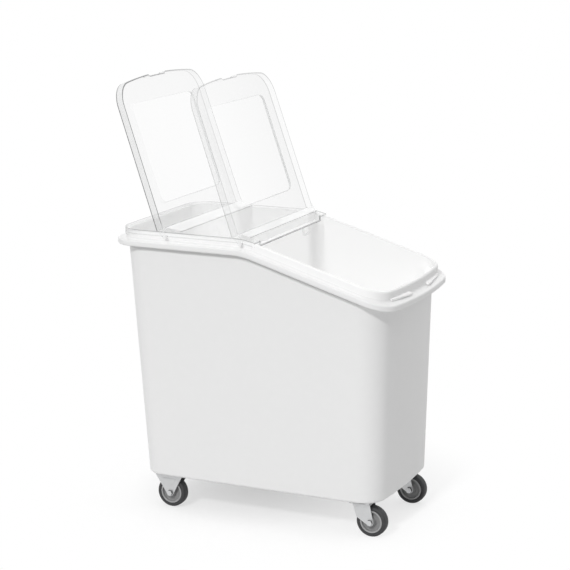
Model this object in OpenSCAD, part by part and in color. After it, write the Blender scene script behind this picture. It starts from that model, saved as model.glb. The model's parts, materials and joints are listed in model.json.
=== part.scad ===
// Rolling flour bin. A drafted tub with a rim that slopes down to the front, a clear rear cover,
// two clear lid leaves that stand raised on it, two rigid rear casters and two swivel front casters.
// Millimetres. +X points to the low front end, +Y to the left side and +Z up. The origin is on
// the floor, under the middle of the rim.

/* [Tub] */
// Length over the rolled rim
rim_len = 724; // [660:1:790]
// Width over the rolled rim
rim_w = 438; // [404:1:476]
// Height from the tub's underside to the underside of the rim, at the rear
tub_h = 574; // [500:0.5:630]
// Thickness of the tub's walls
wall_t = 5; // [3.5:0.1:6.5]
// Thickness of the tub's floor
floor_t = 6; // [4:0.1:9]
// How far the rim overhangs the rear wall
rear_overhang = 23; // [20:0.5:28]
// How far the rim overhangs each side wall
side_overhang = 16; // [14:0.5:20]
// How far the rim overhangs the front wall
front_overhang = 26; // [23:0.5:32]
// How far the rear wall leans in from the rim to the floor
rear_draft = 40.5; // [10:0.5:50]
// How far each side wall leans in from the rim to the floor
side_draft = 22; // [8:0.5:28]
// How far the front wall leans in from the rim to the floor
front_draft = 12; // [4:0.5:24]
// Corner radius of the rear walls under the rim
rear_corner_r = 60; // [48:1:68]
// Corner radius of the front walls under the rim
front_corner_r = 70; // [52:1:76]
// How much tighter the wall corners are at the floor
corner_taper = 12; // [7:1:20]
// Radius of the tub's bottom edge
bottom_edge_r = 6; // [4:0.5:14]
// Radius of the bowed front end
front_bow_r = 1500; // [1100:10:2600]

/* [Rim] */
// Where the rim bends, ahead of the middle of the bin
bend_x = -13; // [-40:1:20]
// Slope of the front part of the rim in degrees
slope_deg = 16.4; // [13:0.1:19]
// Radius of the bend along the rim's underside
bend_r = 180; // [130:1:240]
// Depth of the rolled rim
rim_t = 14; // [11:0.5:17]
// Rounding of the rolled rim's outer edge
rim_edge_r = 4; // [2:0.5:5]
// Plan corner radius of the rolled rim
rim_corner_r = 70; // [60:1:85]
// Gutter between the rim's edge and the upstand, at the sides
side_gutter = 13; // [10:0.5:14]
// Gutter at the rear
rear_gutter = 20; // [16:0.5:22]
// Gutter at the front
front_gutter = 18; // [15:0.5:20]
// Height of the upstand over the rim
upstand_h = 23; // [20:0.5:33]
// Thickness of the upstand
upstand_t = 6; // [4:0.5:8]
// Width of the finger gap between the two ledges in the front gutter
finger_gap = 110; // [70:1:150]
// Reach of each ledge beyond the finger gap
ledge_len = 100; // [60:1:110]
// Height of the ledges over the gutter
ledge_h = 7.5; // [5:0.5:12]
// Width of the ledges across the gutter
ledge_w = 8; // [5:0.5:10]

/* [Rear cover] */
// Thickness of the clear cover
cover_t = 3; // [2:0.1:4]
// Depth of the cover's skirt below its top
cover_skirt = 18; // [16:0.5:22]
// Gap between the upstand and the cover's skirt
cover_play = 1; // [0.5:0.1:2]
// How far the cover reaches forward of the bend
cover_reach = 32; // [28:0.5:36]
// Width of the stepped middle of the cover's front edge
step_w = 354; // [300:1:366]
// Depth of that step below the cover's flat top
step_drop = 19; // [15:0.5:22]
// Height of the bar along the front edge
front_bar_h = 4; // [4:0.5:10]
// Thickness of the bar along the front edge
front_bar_t = 5; // [3:0.5:7]
// Width of the cross ridges that the lids stand against
ridge_w = 392; // [340:1:394]
// Gap between the cross ridges and the sweep of a lid's lower end
ridge_gap = 1.7; // [1:0.1:4]
// Width of the scoop hook
hook_w = 40; // [28:1:60]
// Drop of the scoop hook below the front bar
hook_drop = 20; // [14:1:30]
// Width of the scoop hook's band
hook_band = 5; // [3:0.5:7]
// Corner radius of the scoop hook
hook_r = 12; // [8:0.5:14]
// How far left of the centre plane the scoop hook hangs
hook_y = 92; // [40:1:120]

/* [Lid leaves] */
// Length of each lid leaf
lid_len = 366; // [330:1:372]
// Thickness of the lid sheet
lid_t = 3; // [2:0.1:4]
// Depth of the skirt along a leaf's edges
lid_depth = 17; // [15:0.5:20]
// Gap between a leaf's skirt and the cover's skirt
lid_play = 1.5; // [0.8:0.1:2]
// Corner radius of a leaf's free end
lid_corner_r = 55; // [40:1:70]
// How much each side of a leaf draws in towards its free end
lid_taper = 4; // [1:0.5:5]
// Lean of the raised leaves behind upright in degrees
lid_lean = 19.3; // [16:0.1:22]
// Distance from the pivot to a leaf's lower end
lid_heel = 18; // [17:0.1:20]
// Share of the cover's length between the two lids' pivots
rear_lid_share = 0.5384; // [0.493:0.0002:0.575]
// How far the front pivot is behind the bend
pivot_back = 2.5; // [0:0.5:5]
// Radius of the pivot pins
pin_r = 3; // [2:0.1:3.5]
// Radius of the ear round each pivot pin
ear_r = 7; // [5.5:0.1:7.5]
// Length of the sunk panel
panel_len = 250; // [200:1:260]
// Width of the sunk panel
panel_w = 322; // [260:1:340]
// Distance from a leaf's lower end to the sunk panel
panel_start = 57; // [45:1:65]
// Depth of the sunk panel
panel_sink = 8; // [4:0.5:10]
// Corner radius of the sunk panel
panel_r = 20; // [12:1:30]
// Width of the finger recess in a leaf's free edge
recess_w = 86; // [50:1:90]
// How far the finger recess is off a leaf's middle
recess_shift = -9; // [-12:1:12]
// Depth of the finger recess
recess_d = 4.5; // [3:0.5:6]

/* [Casters] */
// Wheel diameter
wheel_d = 75; // [65:0.5:85]
// Tread width
wheel_w = 24; // [20:0.5:28]
// Thickness of the tyre from the hub to the tread
tyre_t = 9.5; // [7:0.5:12]
// Distance from the tub's rear lower edge to the rear axle
rear_axle_inset = 56; // [54:0.5:75]
// Distance from the tub's front lower edge to the swivel axis
swivel_inset = 61; // [58:0.5:75]
// Distance from the tub's side lower edge to the middle of a wheel
track_inset = 49; // [47:0.5:60]
// Distance from the swivel axis to the front axle
trail = 25; // [20:0.5:30]
// Gap between the tyre and the swivel fork's crown
crown_gap = 2.5; // [2:0.1:6]
// Radius of the swivel fork's crown
crown_r = 23; // [21:0.5:26]
// Thickness of the swivel fork's sheet
fork_t = 3; // [2:0.1:4]
// Thickness of the rigid fork's legs
leg_t = 2.5; // [2:0.1:4]
// Height of the ball race between the crown and the top plate
race_h = 8; // [7:0.1:11]
// Thickness of the top plates
plate_t = 2.5; // [2:0.1:5]
// Length of the swivel casters' top plates
swivel_plate_len = 64; // [60:1:72]
// Length of the rigid casters' top plates
rigid_plate_len = 77; // [72:1:84]
// Radius of the axle bolts
axle_r = 4; // [3:0.1:5]
// Radius of the axle sleeves
sleeve_r = 6; // [5.5:0.1:7.5]
// Radius of the kingpins
kingpin_r = 5; // [4:0.1:6]
// Radius of the bolts that hold the casters
bolt_r = 3; // [2.5:0.1:3.5]
// Radius of the rounded fork ends at the axle
fork_end_r = 9; // [8:0.1:11]

/* [Hidden] */
$fn = 64;

// Overrun of cuts, clearances and facet counts
overrun = 30;
seat_gap = 0.3;
running_gap = 0.05;
hole_gap = 0.2;
corner_steps = 8;
front_steps = 6;
bend_steps = 6;
bow_steps = 720;

// Radius and height of nuts and heads, and the free thread, as shares of the thread's radius
nut_shares = [1.92, 1.7];
round_head_shares = [1.9, 1];
hex_head_shares = [1.88, 1.3];
kingpin_head_shares = [1.8, 0.5];
pin_head_shares = [1.6, 0.4];
thread_end_share = 0.4;
nut_r = nut_shares[0] * bolt_r;
nut_h = nut_shares[1] * bolt_r;
axle_nut_r = nut_shares[0] * axle_r;
axle_nut_h = nut_shares[1] * axle_r;

// Caster stack, from the floor up to the tub
wheel_r = wheel_d / 2;
caster_h = wheel_d + crown_gap + fork_t + race_h + plate_t;
plate_z = caster_h - plate_t;
crown_top_z = plate_z - race_h;
crown_z = crown_top_z - fork_t;
ball_r = race_h / 2 - seat_gap;
ball_count = 10;
crown_lip_t = 2;
race_r = crown_r - crown_lip_t - ball_r - 2 * seat_gap;
hub_r = wheel_r - tyre_t;
hub_proud = 2.6;
hub_play = 0.4;
hub_rim_t = 4;
hub_boss_t = 5;
web_w = 10;
shoulder_r = 7;
hub_w = wheel_w + 2 * hub_proud;
fork_gap = hub_w + 2 * hub_play;
rigid_half = fork_gap / 2 + leg_t;
swivel_half = fork_gap / 2 + fork_t;
emboss_t = 0.8;
emboss_drop = 14;
emboss_side = 20;
emboss_rise = 16;
shoulder_drop = 6;
rigid_offset = 2;
crown_back_share = 0.85;
crown_front_share = 1.05;
race_lip_share = 0.3;
knee_back = 34;
knee_rise = 10.5;
bolt_x = 20;
plate_edge = 9;
plate_corner_r = 12;
bolt_y = max(rigid_half, swivel_half) + nut_r + seat_gap;
plate_half_w = bolt_y + plate_edge;

// Tub ends, rim and upstand
base_z = caster_h;
rim_z = base_z + tub_h;
rim_half = rim_len / 2;
base_rear = -rim_half + rear_overhang + rear_draft;
base_front = rim_half - front_overhang - front_draft;
base_half_w = rim_w / 2 - side_overhang - side_draft;
bow_x = rim_half - front_bow_r;
upstand_up = rim_t + upstand_h;
upstand_half_w = rim_w / 2 - side_gutter;
inner_edge_share = 0.5;
inner_edge_r = inner_edge_share * bottom_edge_r;
rear_axle_x = base_rear + rear_axle_inset;
swivel_x = base_front - swivel_inset;
caster_y = base_half_w - track_inset;

// Cover, pivots and lids
cover_up = upstand_up + seat_gap + cover_t;
cover_z = rim_z + cover_up;
cover_rear = -rim_half + rear_gutter - cover_play - cover_t;
cover_front = bend_x + cover_reach;
cover_half_w = upstand_half_w + cover_play + cover_t;
cover_corner_r = rim_corner_r - side_gutter + cover_play + cover_t;
lid_half_w = cover_half_w + lid_play + lid_t;
stand_gap = 0.5;
pivot_drop = lid_heel * cos(lid_lean) - lid_depth * sin(lid_lean) - stand_gap;
pivot_z = cover_z - pivot_drop;
front_pivot_x = bend_x - pivot_back;
rear_pivot_x = front_pivot_x - rear_lid_share * (cover_front - cover_rear);

// Cross ridge, measured from the pivot; its crest stays inside the sweep of the lid's lower end
crest_back = 9.5;
crest_flat = 3;
ridge_foot = 6;
ridge_toe = 15.5;
toe_h = 1.7;
toe_run = 2;
sweep_r = norm([lid_heel, lid_depth - lid_t]);
crest_z = sqrt(pow(sweep_r - ridge_gap, 2) - pow(crest_back, 2));

// Height at x of a line that runs a set distance square above the rim's underside
bend_start = bend_x - bend_r * tan(slope_deg / 2);
function rim_line(x, up) = let (r = bend_r + up, end = bend_start + r * sin(slope_deg))
    rim_z - bend_r + (x <= bend_start ? r
        : x < end ? sqrt(r * r - pow(x - bend_start, 2))
        : r * cos(slope_deg) - (x - end) * tan(slope_deg));
bend_xs = [for (i = [0:bend_steps]) bend_start + (bend_r + upstand_up) * sin(slope_deg * i / bend_steps)];

// A plan outline is [rear x, front x, half width, rear corner radius, front corner radius]
function inset(o, d) = [o[0] + d, o[1] - d, o[2] - d, o[3] - d, o[4] - d];
rim_outline = [-rim_half, rim_half, rim_w / 2, rim_corner_r, rim_corner_r];
upstand_outline = [-rim_half + rear_gutter, rim_half - front_gutter, upstand_half_w,
    rim_corner_r - side_gutter, rim_corner_r - side_gutter];
function wall_outline(z) = let (t = (z - base_z) / tub_h, tighter = corner_taper * (1 - t))
    [base_rear - rear_draft * t, base_front + front_draft * t, base_half_w + side_draft * t,
        rear_corner_r - tighter, front_corner_r - tighter];

// Points of an outline, counter-clockwise from the rear right corner, with a bowed front end
function arc(c, r, a0, a1, steps) =
    [for (i = [0:steps]) let (a = a0 + (a1 - a0) * i / steps) c + r * [cos(a), sin(a)]];
function outline_points(o) = let (
        rear = [o[0] + o[3], o[2] - o[3]],
        bow = o[1] - bow_x,
        lean = asin((o[2] - o[4]) / (bow - o[4])),
        front = [bow_x + (bow - o[4]) * cos(lean), o[2] - o[4]])
    concat(
        arc([rear[0], -rear[1]], o[3], 180, 270, corner_steps),
        [for (x = bend_xs) [x, -o[2]]],
        arc([front[0], -front[1]], o[4], 270, 360 - lean, corner_steps),
        [for (i = [1:front_steps - 1]) let (a = lean * (2 * i / front_steps - 1))
            [bow_x + bow * cos(a), bow * sin(a)]],
        arc(front, o[4], lean, 90, corner_steps),
        [for (i = [bend_steps:-1:0]) [bend_xs[i], o[2]]],
        arc(rear, o[3], 90, 180, corner_steps));

// Rings of the tub's skin: level ones, ones that follow the rim, and ones where a wall meets the rim
function level_ring(o, z) = [for (p = outline_points(o)) [p[0], p[1], z]];
function rim_ring(o, up) = [for (p = outline_points(o)) [p[0], p[1], rim_line(p[0], up)]];
function wall_ring(d, up) = let (top = outline_points(wall_outline(rim_z)))
    [for (i = [0:len(top) - 1])
        let (o = inset(wall_outline(rim_line(top[i][0], up)), d), p = outline_points(o)[i])
        [p[0], p[1], rim_line(p[0], up)]];
function edge_ring(d, z, r, a) = let (level = z + r * (1 - cos(a)))
    level_ring(inset(wall_outline(level), d + r * (1 - sin(a))), level);
tub_rings = concat(
    [for (a = [0, 30, 60, 90]) edge_ring(0, base_z, bottom_edge_r, a)],
    [wall_ring(0, 0),
        rim_ring(inset(rim_outline, rim_edge_r), 0),
        rim_ring(rim_outline, rim_edge_r),
        rim_ring(rim_outline, rim_t - rim_edge_r),
        rim_ring(inset(rim_outline, rim_edge_r), rim_t),
        rim_ring(upstand_outline, rim_t)],
    [for (a = [180:-45:0]) rim_ring(inset(upstand_outline, upstand_t / 2 * (1 + cos(a))),
        upstand_up - upstand_t / 2 * (1 - sin(a)))],
    [rim_ring(inset(upstand_outline, upstand_t), rim_t - wall_t), wall_ring(wall_t, -wall_t)],
    [for (a = [90, 60, 30, 0]) edge_ring(wall_t, base_z + floor_t, inner_edge_r, a)]);

// Solid through a stack of rings, closed at the first and the last
module loft(rings) {
    n = len(rings[0]);
    last = (len(rings) - 1) * n;
    points = [for (ring = rings) each ring];
    sides = [for (j = [0:len(rings) - 2], i = [0:n - 1])
        let (a = j * n + i, b = j * n + (i + 1) % n) each [[a, a + n, b], [b, a + n, b + n]]];
    polyhedron(points, concat([[for (i = [0:n - 1]) i], [for (i = [n - 1:-1:0]) last + i]], sides));
}

// Extrusion of a side-view shape across the width
module across(w) {
    rotate([90, 0, 0]) linear_extrude(w, center = true) children();
}

// Side-view band between two lines that follow the rim
function rim_band(x0, x1, up0, up1) =
    let (xs = concat([x0], [for (x = bend_xs) if (x > x0 && x < x1) x], [x1]))
    concat([for (x = xs) [x, rim_line(x, up0)]],
        [for (i = [len(xs) - 1:-1:0]) [xs[i], rim_line(xs[i], up1)]]);

// Rounded rectangle about the origin
module round_rect(len, w, r) {
    square([len - 2 * r, w], center = true);
    square([len, w - 2 * r], center = true);
    for (x = [-1, 1], y = [-1, 1])
        translate([x * (len / 2 - r), y * (w / 2 - r)]) circle(r);
}

// Places of the casters, with side 1 for left and -1 for right
module at_rear(side) {
    translate([rear_axle_x, side * caster_y, 0]) children();
}

module at_front(side) {
    translate([swivel_x, side * caster_y, 0]) children();
}

module at_plate_corners() {
    for (x = [-1, 1], y = [-1, 1])
        translate([x * bolt_x, y * bolt_y, 0]) children();
}

module at_bolts() {
    for (side = [-1, 1]) {
        at_rear(side) translate([-rigid_offset, 0, 0]) at_plate_corners() children();
        at_front(side) at_plate_corners() children();
    }
}

// Two ledges in the front gutter, with the finger gap between them
module front_ledges() {
    intersection() {
        linear_extrude(rim_z + upstand_up) difference() {
            polygon(outline_points(inset(upstand_outline, -ledge_w)));
            polygon(outline_points(inset(upstand_outline, upstand_t / 2)));
        }
        across(rim_w) polygon(rim_band(bend_x, rim_half, rim_t / 2, rim_t + ledge_h));
        for (side = [-1, 1])
            translate([0, side * (finger_gap + ledge_len) / 2, rim_z / 2])
                cube([rim_len, ledge_len, rim_z], center = true);
    }
}

module tub() {
    color("white") difference() {
        union() {
            loft(tub_rings);
            front_ledges();
        }
        at_bolts() translate([0, 0, base_z - overrun])
            cylinder(r = bolt_r + hole_gap, h = floor_t + 2 * overrun);
    }
}

// Plan of the cover, square at the front and rounded at the rear
module cover_plan(d, front) {
    r = cover_corner_r - d;
    x = cover_rear + d;
    y = cover_half_w - d;
    translate([x + r, -y]) square([front - x - r, 2 * y]);
    translate([x, r - y]) square([r, 2 * (y - r)]);
    for (side = [-1, 1])
        translate([x + r, side * (y - r)]) circle(r);
}

// Side view of a cross ridge, drawn from its pivot and thinned by d for its hollow
module ridge_side(d) {
    polygon([
        [-crest_back - ridge_foot + d, -overrun],
        [-crest_back - ridge_foot + d, pivot_drop - d],
        [-crest_back + d / 2, crest_z - d],
        [-crest_back + crest_flat, crest_z - d],
        [ridge_toe - d, pivot_drop + toe_h - d],
        [ridge_toe + toe_run - d, pivot_drop - d],
        [ridge_toe + toe_run - d, -overrun]]);
}

module at_pivots() {
    for (x = [front_pivot_x, rear_pivot_x])
        translate([x, 0, pivot_z]) children();
}

// Dropped middle of the cover's front edge: riser, shelf, two cheeks and the front bar
module front_step() {
    back = front_pivot_x + ridge_toe + toe_run - cover_t;
    low = cover_z - step_drop;
    cheek_w = step_w + 2 * cover_t;
    translate([back, -step_w / 2, low - cover_t]) cube([cover_front - back, step_w, cover_t]);
    translate([cover_front - front_bar_t, -step_w / 2, low - front_bar_h])
        cube([front_bar_t, step_w, front_bar_h]);
    intersection() {
        across(cheek_w) polygon(rim_band(back, cover_front, 0, cover_up));
        translate([back, -cheek_w / 2, low - cover_t]) union() {
            cube([cover_t, cheek_w, step_drop + cover_t]);
            for (y = [0, cheek_w - cover_t])
                translate([0, y, 0]) cube([cover_front - back, cover_t, step_drop + cover_t]);
        }
    }
}

module rear_cover() {
    step_x = front_pivot_x + ridge_toe + toe_run;
    color("whitesmoke", 0.5) difference() {
        union() {
            intersection() {
                linear_extrude(cover_z) cover_plan(0, cover_front);
                across(rim_w)
                    polygon(rim_band(cover_rear, cover_front, cover_up - cover_skirt, cover_up));
            }
            intersection() {
                at_pivots() across(ridge_w) ridge_side(0);
                across(ridge_w)
                    polygon(rim_band(cover_rear, cover_front, cover_up - cover_t, cover_up + overrun));
            }
        }
        intersection() {
            linear_extrude(cover_z) cover_plan(cover_t, cover_front + overrun);
            across(rim_w) polygon(rim_band(cover_rear, cover_front + overrun, 0, cover_up - cover_t));
        }
        at_pivots() across(ridge_w - 2 * cover_t) ridge_side(cover_t);
        translate([step_x, -step_w / 2, rim_z]) cube([rim_len, step_w, rim_z]);
        at_pivots() across(rim_w) circle(pin_r + running_gap);
    }
    color("whitesmoke", 0.5) front_step();
}

// U-shaped hook for a scoop, below the front bar
module hook_outline(d) {
    half = hook_w / 2 - d;
    drop = hook_drop - d;
    r = hook_r - d;
    translate([-half, r - drop]) square([2 * half, drop - r]);
    translate([r - half, -drop]) square([2 * (half - r), drop]);
    for (side = [-1, 1])
        translate([side * (half - r), r - drop]) circle(r);
}

module scoop_hook() {
    top = cover_z - step_drop - front_bar_h;
    color("whitesmoke", 0.5) translate([cover_front - front_bar_t, hook_y, top])
        rotate([90, 0, 90]) linear_extrude(front_bar_t) difference() {
            hook_outline(0);
            hook_outline(hook_band);
            translate([-hook_w / 2 + hook_band, -hook_band]) square([hook_w - 2 * hook_band, overrun]);
            translate([-hook_w, 0]) square([2 * hook_w, overrun]);
        }
}

// A lid leaf lies in its own frame: x along it from the pivot, z square to it
module raised(x) {
    translate([x, 0, pivot_z]) rotate([0, -90 - lid_lean, 0]) children();
}

// Where a line from p touches the circle of radius r at c, on the chosen side
function tangent(p, c, r, side) =
    let (a = atan2(p[1] - c[1], p[0] - c[0]) + side * acos(r / norm(p - c)))
    c + r * [cos(a), sin(a)];

// Plan of a leaf set in by d: sides that draw in to round corners, a bowed free end and a finger recess
module lid_plan(d, start) {
    tip = lid_heel + lid_len;
    y = lid_half_w - lid_taper - lid_corner_r;
    reach = front_bow_r - lid_corner_r;
    lean = asin(y / reach);
    corner = [tip - front_bow_r + reach * cos(lean), y];
    edge = tangent([lid_heel, lid_half_w], corner, lid_corner_r, -1);
    turn = atan2(lid_half_w - edge[1], edge[0] - lid_heel);
    end = edge - d * [sin(turn), cos(turn)];
    half = lid_half_w - d / cos(turn) - (start - lid_heel) * tan(turn);
    bow_half = (front_bow_r - d) * sin(lean);
    difference() {
        union() {
            polygon([[start, -half], [end[0], -end[1]], end, [start, half]]);
            for (side = [-1, 1])
                translate([corner[0], side * y]) circle(lid_corner_r - d);
            intersection() {
                translate([tip - front_bow_r, 0]) circle(front_bow_r - d, $fn = bow_steps);
                translate([start, -bow_half]) square([tip - start, 2 * bow_half]);
            }
        }
        translate([tip - recess_d - d, recess_shift - recess_w / 2 - d]) square([overrun, recess_w + 2 * d]);
    }
}

module panel_plan(d) {
    translate([lid_heel + panel_start + panel_len / 2, 0])
        round_rect(panel_len - 2 * d, panel_w - 2 * d, panel_r - d);
}

// Side view of an ear: a round end at the pivot that runs into the leaf's skirt
module ear_side() {
    top = [lid_heel, lid_depth];
    toe = [2 * lid_heel, 0];
    circle(ear_r);
    polygon([
        tangent(toe, [0, 0], ear_r, -1), toe,
        [toe[0], lid_depth], top,
        tangent(top, [0, 0], ear_r, 1)]);
}

module lid_leaf() {
    color("whitesmoke", 0.35) difference() {
        union() {
            linear_extrude(lid_depth) difference() {
                lid_plan(0, lid_heel);
                lid_plan(lid_t, lid_heel - overrun);
            }
            translate([0, 0, lid_depth - lid_t]) linear_extrude(lid_t) difference() {
                lid_plan(0, lid_heel);
                panel_plan(lid_t);
            }
            translate([0, 0, lid_depth - panel_sink - lid_t]) {
                linear_extrude(lid_t) panel_plan(0);
                linear_extrude(panel_sink + lid_t) difference() {
                    panel_plan(0);
                    panel_plan(lid_t);
                }
            }
            for (side = [-1, 1])
                translate([0, side * (lid_half_w - lid_t / 2), 0]) across(lid_t) ear_side();
        }
        across(rim_w) circle(pin_r + running_gap);
    }
}

// Pivot pins: headed outside the ears, ending flush inside the cover's skirts
module lid_pins() {
    inner = cover_half_w - cover_t;
    color("lightgray") for (side = [-1, 1])
        rotate([-90 * side, 0, 0]) {
            translate([0, 0, inner]) cylinder(r = pin_r, h = lid_half_w - inner);
            translate([0, 0, lid_half_w])
                cylinder(r = pin_head_shares[0] * pin_r, h = pin_head_shares[1] * pin_r);
        }
}

module caster_bolts() {
    top = base_z + floor_t;
    low = plate_z - nut_h - thread_end_share * bolt_r;
    head_r = round_head_shares[0] * bolt_r;
    head_h = round_head_shares[1] * bolt_r;
    dome_r = (head_r * head_r + head_h * head_h) / (2 * head_h);
    color("silver") at_bolts() {
        translate([0, 0, low]) cylinder(r = bolt_r, h = top - low);
        translate([0, 0, top]) intersection() {
            cylinder(r = head_r, h = head_h);
            translate([0, 0, head_h - dome_r]) sphere(dome_r);
        }
    }
}

module caster_nuts() {
    color("silver") at_bolts() translate([0, 0, plate_z - nut_h]) difference() {
        cylinder(r = nut_r, h = nut_h, $fn = 6);
        translate([0, 0, -overrun]) cylinder(r = bolt_r + running_gap, h = nut_h + 2 * overrun);
    }
}

// Top plate with its four bolt holes
module top_plate(len) {
    translate([0, 0, plate_z]) linear_extrude(plate_t) difference() {
        round_rect(len, 2 * plate_half_w, plate_corner_r);
        at_plate_corners() circle(bolt_r + hole_gap);
    }
}

// Side view of a fork leg: down the points of its rear edge, round the axle and up to its top front corner
module leg_side(rear_edge, front, axle) {
    knee = rear_edge[len(rear_edge) - 1];
    end = [tangent(knee, axle, fork_end_r, 1), tangent(front, axle, fork_end_r, -1)];
    polygon(concat(rear_edge, end, [front]));
    translate(axle) circle(fork_end_r);
}

module axle_hole(x) {
    translate([x, 0, wheel_r]) across(rim_w) circle(axle_r + running_gap);
}

// Rigid fork: one pressed sheet with two V-shaped legs, embossed with a triangle
module rigid_fork() {
    back = -rigid_offset - rigid_plate_len / 2;
    front = -rigid_offset + rigid_plate_len / 2;
    top = plate_z + plate_t / 2;
    shoulder = [back, plate_z - shoulder_drop];
    emboss_top = plate_z - emboss_drop;
    color("gainsboro") difference() {
        union() {
            translate([-rigid_offset, 0, 0]) top_plate(rigid_plate_len);
            for (side = [-1, 1]) {
                translate([0, side * (fork_gap + leg_t) / 2, 0])
                    across(leg_t) leg_side([[back, top], shoulder], [front, top], [0, wheel_r]);
                translate([0, side * (rigid_half + emboss_t / 2), 0]) across(emboss_t) polygon([
                    [back + emboss_side, emboss_top],
                    [front - emboss_side, emboss_top],
                    [0, wheel_r + emboss_rise]]);
            }
        }
        axle_hole(0);
    }
}

// Swivel fork: a round crown under the ball race and two kneed legs that trail to the axle
module swivel_fork() {
    back = -crown_back_share * crown_r;
    front = crown_front_share * crown_r;
    knee = [trail - knee_back, wheel_r + knee_rise];
    color("gainsboro") difference() {
        union() {
            translate([0, 0, crown_z]) cylinder(r = crown_r, h = fork_t);
            translate([0, 0, crown_top_z]) difference() {
                cylinder(r = crown_r, h = race_lip_share * race_h);
                translate([0, 0, -overrun]) cylinder(r = crown_r - crown_lip_t, h = 2 * overrun);
            }
            translate([back, -swivel_half, crown_z]) cube([front - back, 2 * swivel_half, fork_t]);
            for (side = [-1, 1])
                translate([0, side * (fork_gap + fork_t) / 2, 0]) across(fork_t)
                    leg_side([[back, crown_top_z], knee], [front, crown_top_z], [trail, wheel_r]);
        }
        translate([0, 0, crown_z - overrun]) cylinder(r = kingpin_r + running_gap, h = 2 * overrun);
        axle_hole(trail);
    }
}

module swivel_plate() {
    color("gainsboro") difference() {
        top_plate(swivel_plate_len);
        translate([0, 0, plate_z - overrun]) cylinder(r = kingpin_r + running_gap, h = 2 * overrun);
    }
}

module kingpin() {
    head_top = crown_z - seat_gap;
    head_h = kingpin_head_shares[1] * kingpin_r;
    color("silver") {
        translate([0, 0, head_top]) cylinder(r = kingpin_r, h = base_z - head_top);
        translate([0, 0, head_top - head_h]) cylinder(r = kingpin_head_shares[0] * kingpin_r, h = head_h);
    }
}

module race_balls() {
    color("silver") for (i = [0:ball_count - 1])
        rotate(360 * i / ball_count) translate([race_r, 0, (crown_top_z + plate_z) / 2]) sphere(ball_r);
}

// Axle parts lie on the wheel's axis; half is the distance to a leg's outer face
module on_axle(x, side) {
    translate([x, 0, wheel_r]) rotate([-90 * side, 0, 0]) children();
}

module axle_bolt(half) {
    low = half + axle_nut_h + thread_end_share * axle_r;
    color("silver") {
        translate([0, 0, -low]) cylinder(r = axle_r, h = low + half);
        translate([0, 0, half])
            cylinder(r = hex_head_shares[0] * axle_r, h = hex_head_shares[1] * axle_r, $fn = 6);
    }
}

module axle_nut(half) {
    color("silver") translate([0, 0, -half - axle_nut_h]) difference() {
        cylinder(r = axle_nut_r, h = axle_nut_h, $fn = 6);
        translate([0, 0, -overrun]) cylinder(r = axle_r + running_gap, h = axle_nut_h + 2 * overrun);
    }
}

module sleeve() {
    color("darkgray") difference() {
        cylinder(r = sleeve_r, h = fork_gap, center = true);
        cylinder(r = axle_r + running_gap, h = fork_gap + overrun, center = true);
    }
}

// Band of a wheel's section, from one radius to another and evenly about its middle
module wheel_band(r0, r1, w) {
    translate([r0, -w / 2]) square([r1 - r0, w]);
}

module hub() {
    bore = sleeve_r + running_gap;
    color("gray") rotate_extrude() {
        wheel_band(bore, sleeve_r + hub_boss_t, hub_w);
        wheel_band(bore, hub_r, web_w);
        wheel_band(hub_r - hub_rim_t, hub_r, wheel_w - 2 * hub_play);
    }
}

module tyre() {
    inner = hub_r + running_gap;
    color("dimgray") rotate_extrude() difference() {
        union() {
            wheel_band(inner, wheel_r - shoulder_r, wheel_w);
            wheel_band(inner, wheel_r, wheel_w - 2 * shoulder_r);
            for (side = [-1, 1])
                translate([wheel_r - shoulder_r, side * (wheel_w / 2 - shoulder_r)]) circle(shoulder_r);
        }
        wheel_band(0, inner, wheel_w);
    }
}

tub();
rear_cover();
scoop_hook();
raised(front_pivot_x) lid_leaf();  // front_lid
raised(front_pivot_x) lid_pins();  // front_lid_pins
raised(rear_pivot_x) lid_leaf();  // rear_lid
raised(rear_pivot_x) lid_pins();  // rear_lid_pins
caster_bolts();
caster_nuts();

at_rear(1) rigid_fork();  // rear_left_fork
at_rear(1) on_axle(0, 1) axle_bolt(rigid_half);  // rear_left_axle
at_rear(1) on_axle(0, 1) axle_nut(rigid_half);  // rear_left_axle_nut
at_rear(1) on_axle(0, 1) sleeve();  // rear_left_sleeve
at_rear(1) on_axle(0, 1) hub();  // rear_left_hub
at_rear(1) on_axle(0, 1) tyre();  // rear_left_tyre
at_rear(-1) rigid_fork();  // rear_right_fork
at_rear(-1) on_axle(0, -1) axle_bolt(rigid_half);  // rear_right_axle
at_rear(-1) on_axle(0, -1) axle_nut(rigid_half);  // rear_right_axle_nut
at_rear(-1) on_axle(0, -1) sleeve();  // rear_right_sleeve
at_rear(-1) on_axle(0, -1) hub();  // rear_right_hub
at_rear(-1) on_axle(0, -1) tyre();  // rear_right_tyre

at_front(1) swivel_plate();  // front_left_plate
at_front(1) kingpin();  // front_left_kingpin
at_front(1) race_balls();  // front_left_balls
at_front(1) swivel_fork();  // front_left_fork
at_front(1) on_axle(trail, 1) axle_bolt(swivel_half);  // front_left_axle
at_front(1) on_axle(trail, 1) axle_nut(swivel_half);  // front_left_axle_nut
at_front(1) on_axle(trail, 1) sleeve();  // front_left_sleeve
at_front(1) on_axle(trail, 1) hub();  // front_left_hub
at_front(1) on_axle(trail, 1) tyre();  // front_left_tyre
at_front(-1) swivel_plate();  // front_right_plate
at_front(-1) kingpin();  // front_right_kingpin
at_front(-1) race_balls();  // front_right_balls
at_front(-1) swivel_fork();  // front_right_fork
at_front(-1) on_axle(trail, -1) axle_bolt(swivel_half);  // front_right_axle
at_front(-1) on_axle(trail, -1) axle_nut(swivel_half);  // front_right_axle_nut
at_front(-1) on_axle(trail, -1) sleeve();  // front_right_sleeve
at_front(-1) on_axle(trail, -1) hub();  // front_right_hub
at_front(-1) on_axle(trail, -1) tyre();  // front_right_tyre
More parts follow.
